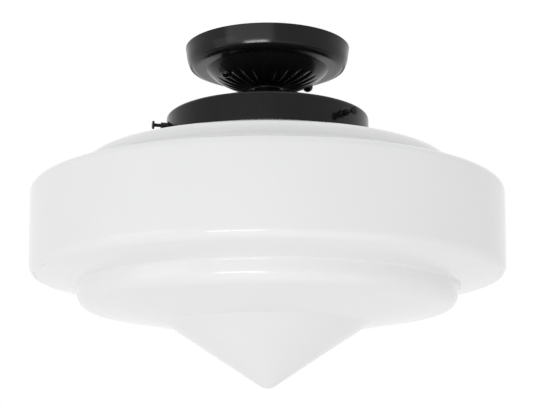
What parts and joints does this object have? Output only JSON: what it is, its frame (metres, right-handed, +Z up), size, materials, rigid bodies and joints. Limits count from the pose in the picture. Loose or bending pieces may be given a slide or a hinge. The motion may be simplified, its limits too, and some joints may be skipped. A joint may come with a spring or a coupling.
{
  "type": "ceiling light",
  "caption": "Semi-flush ceiling light: fluted black canopy and waisted neck carry a round holder, whose thumb screws hold a stepped opal glass drum shade round one lamp.",
  "frame": {"origin": "centre of the mounting plate's top face, in the ceiling's plane", "axes": "+Z up into the ceiling, along the light's axis; +X through the two cap nuts"},
  "size_m": [0.3674, 0.3674, 0.2704],
  "materials": {
    "black_metal": "satin black powder coat",
    "zinc_steel": "zinc plated",
    "opal_glass": "gloss opal white",
    "green_screw": "green passivated",
    "fibre_washer": "vulcanised fibre",
    "porcelain": "glazed",
    "brass": "plain",
    "lamp_metal": "rolled",
    "lamp_black": "vitrite",
    "lamp_glass": "frosted",
    "black_lead": "insulation",
    "white_lead": "insulation",
    "green_lead": "insulation",
    "connector_plastic": "moulded",
    "soft_tip": "vinyl"
  },
  "bodies": {
    "fixture": {"mounting_plate": "zinc_steel", "mounting_studs": "zinc_steel", "stud_lock_nuts": "zinc_steel", "ground_screw": "green_screw", "canopy": "black_metal", "nipple": "zinc_steel", "nipple_top_nut": "zinc_steel", "nipple_top_washer": "zinc_steel", "nipple_bottom_washer": "zinc_steel", "nipple_bottom_nut": "zinc_steel", "neck_collar": "black_metal", "glass_holder": "black_metal", "screw_bosses": "black_metal", "socket_bracket": "zinc_steel", "socket_screws": "zinc_steel", "socket_body": "porcelain", "socket_shell": "brass", "socket_contact": "brass", "live_lead": "black_lead", "neutral_lead": "white_lead", "ground_lead": "green_lead", "wire_connectors": "connector_plastic"},
    "shade": {"shade": "opal_glass"},
    "lamp_carrier": {"lamp_contact": "lamp_metal"},
    "lamp": {"lamp_insulator": "lamp_black", "lamp_base": "lamp_metal", "lamp_envelope": "lamp_glass"},
    "cap_nut_1_carrier": {"cap_nut_washer_1": "fibre_washer"},
    "cap_nut_1": {"cap_nut_1": "black_metal"},
    "cap_nut_2_carrier": {"cap_nut_washer_2": "fibre_washer"},
    "cap_nut_2": {"cap_nut_2": "black_metal"},
    "thumb_screw_1_carrier": {"screw_tip_1": "soft_tip"},
    "thumb_screw_1": {"thumb_screw_1": "black_metal"},
    "thumb_screw_2_carrier": {"screw_tip_2": "soft_tip"},
    "thumb_screw_2": {"thumb_screw_2": "black_metal"},
    "thumb_screw_3_carrier": {"screw_tip_3": "soft_tip"},
    "thumb_screw_3": {"thumb_screw_3": "black_metal"}
  },
  "joints": [
    {"name": "shade_drop", "type": "slide", "parent": "fixture", "child": "shade", "axis": [0, 0, -1], "range_m": [0, 0.02]},
    {"name": "thumb_screw_1_travel", "type": "slide", "parent": "fixture", "child": "thumb_screw_1_carrier", "axis": [0.2419, -0.9703, 0], "range_m": [0, 0.006]},
    {"name": "thumb_screw_1_turn", "type": "hinge", "parent": "thumb_screw_1_carrier", "child": "thumb_screw_1", "pos_m": [0.01935, -0.07762, -0.0688], "axis": [0.2419, -0.9703, 0], "range_deg": [0, 4320]},
    {"name": "thumb_screw_2_travel", "type": "slide", "parent": "fixture", "child": "thumb_screw_2_carrier", "axis": [0.7193, 0.6947, 0], "range_m": [0, 0.006]},
    {"name": "thumb_screw_2_turn", "type": "hinge", "parent": "thumb_screw_2_carrier", "child": "thumb_screw_2", "pos_m": [0.05755, 0.05557, -0.0688], "axis": [0.7193, 0.6947, 0], "range_deg": [0, 4320]},
    {"name": "thumb_screw_3_travel", "type": "slide", "parent": "fixture", "child": "thumb_screw_3_carrier", "axis": [-0.9613, 0.2756, 0], "range_m": [0, 0.006]},
    {"name": "thumb_screw_3_turn", "type": "hinge", "parent": "thumb_screw_3_carrier", "child": "thumb_screw_3", "pos_m": [-0.0769, 0.02205, -0.0688], "axis": [-0.9613, 0.2756, 0], "range_deg": [0, 4320]},
    {"name": "cap_nut_1_travel", "type": "slide", "parent": "fixture", "child": "cap_nut_1_carrier", "axis": [0, 0, -1], "range_m": [0, 0.00556]},
    {"name": "cap_nut_1_turn", "type": "hinge", "parent": "cap_nut_1_carrier", "child": "cap_nut_1", "pos_m": [0.0381, 0, -0.025], "axis": [0, 0, -1], "range_deg": [0, 2520.1]},
    {"name": "cap_nut_2_travel", "type": "slide", "parent": "fixture", "child": "cap_nut_2_carrier", "axis": [0, 0, -1], "range_m": [0, 0.00556]},
    {"name": "cap_nut_2_turn", "type": "hinge", "parent": "cap_nut_2_carrier", "child": "cap_nut_2", "pos_m": [-0.0381, 0, -0.025], "axis": [0, 0, -1], "range_deg": [0, 2520.1]},
    {"name": "lamp_travel", "type": "slide", "parent": "fixture", "child": "lamp_carrier", "axis": [0, 0, -1], "range_m": [0, 0.02178]},
    {"name": "lamp_turn", "type": "hinge", "parent": "lamp_carrier", "child": "lamp", "pos_m": [0, 0, -0.1], "axis": [0, 0, -1], "range_deg": [0, 2160.1]}
  ],
  "couplings": [
    {"joint": "thumb_screw_1_travel", "follows": "shade_drop", "ratio": 0.3},
    {"joint": "thumb_screw_1_turn", "follows": "shade_drop", "rad_per_m": 3769.9},
    {"joint": "thumb_screw_2_travel", "follows": "shade_drop", "ratio": 0.3},
    {"joint": "thumb_screw_2_turn", "follows": "shade_drop", "rad_per_m": 3769.9},
    {"joint": "thumb_screw_3_travel", "follows": "shade_drop", "ratio": 0.3},
    {"joint": "thumb_screw_3_turn", "follows": "shade_drop", "rad_per_m": 3769.9},
    {"joint": "cap_nut_1_turn", "follows": "cap_nut_1_travel", "rad_per_m": 7913.3},
    {"joint": "cap_nut_2_turn", "follows": "cap_nut_2_travel", "rad_per_m": 7913.3},
    {"joint": "lamp_turn", "follows": "lamp_travel", "rad_per_m": 1730.9}
  ]
}
